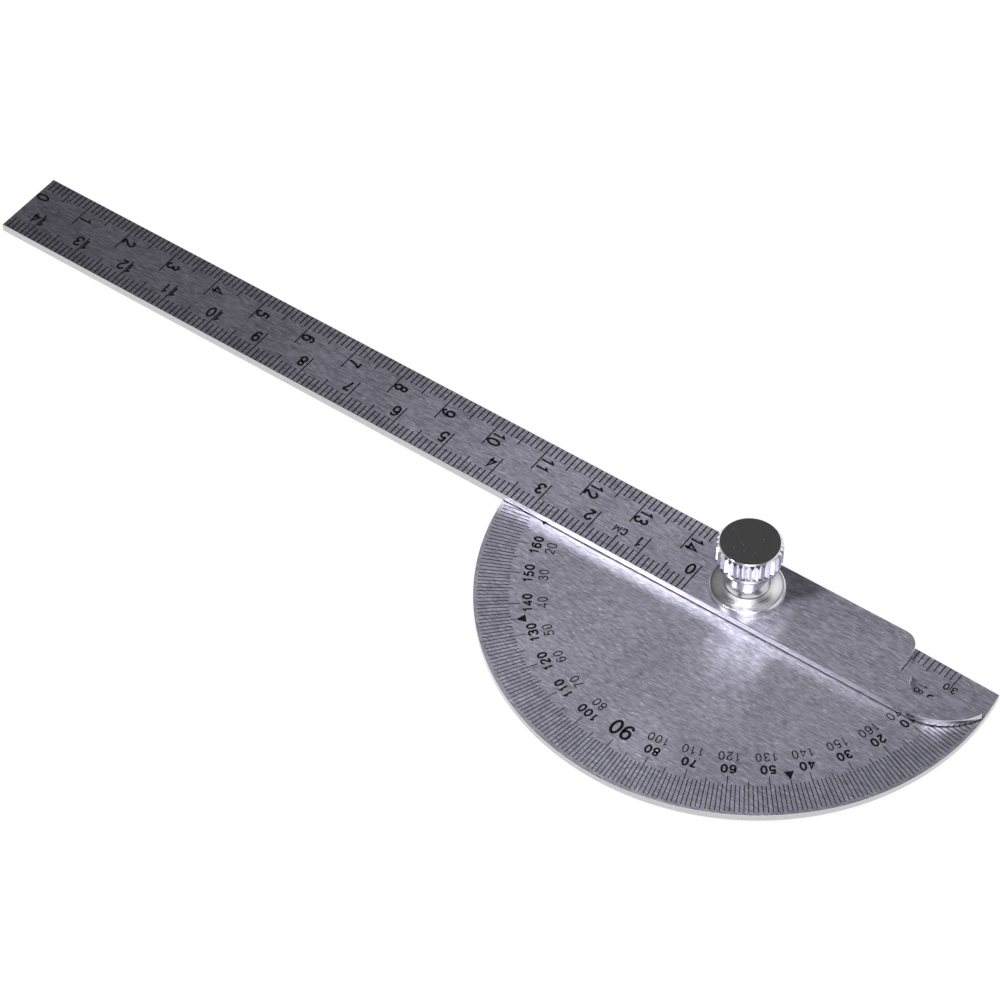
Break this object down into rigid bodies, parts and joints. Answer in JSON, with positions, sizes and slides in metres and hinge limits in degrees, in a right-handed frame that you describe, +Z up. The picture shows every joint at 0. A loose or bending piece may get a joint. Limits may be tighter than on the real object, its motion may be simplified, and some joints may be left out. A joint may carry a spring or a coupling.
{
  "type": "bevel protractor",
  "caption": "Half-round steel protractor head with a swinging steel rule, locked at an angle by a knurled thumb nut.",
  "frame": {"origin": "on the pivot axis, at the underside of the pivot bolt's head, which the tool rests on", "axes": "+X along the rule towards its reading finger, +Y towards the head's straight edge, +Z up along the pivot towards the thumb nut"},
  "size_m": [0.198, 0.0526, 0.0154],
  "materials": {
    "head_steel": "satin stainless, fine lengthwise grain",
    "rule_steel": "satin stainless, fine lengthwise grain",
    "bolt_steel": "turned steel",
    "plated_washer": "polished nickel plate",
    "plated_nut": "polished nickel plate"
  },
  "bodies": {
    "head": {"protractor_head": "head_steel", "pivot_bolt": "bolt_steel"},
    "rule": {"rule": "rule_steel"},
    "washer": {"clamp_washer": "plated_washer"},
    "nut": {"thumb_nut": "plated_nut"}
  },
  "joints": [
    {"name": "rule_swing", "type": "hinge", "parent": "head", "child": "rule", "pos_m": [0, 0, 0.003], "axis": [0, 0, 1], "continuous": true},
    {"name": "nut_turn", "type": "hinge", "parent": "head", "child": "washer", "pos_m": [0, 0, 0.0045], "axis": [0, 0, 1], "range_deg": [0, 2880]},
    {"name": "nut_rise", "type": "slide", "parent": "washer", "child": "nut", "axis": [0, 0, 1], "range_m": [0, 0.0056]}
  ],
  "couplings": [
    {"joint": "nut_rise", "follows": "nut_turn", "m_per_rad": 0.00011141}
  ]
}
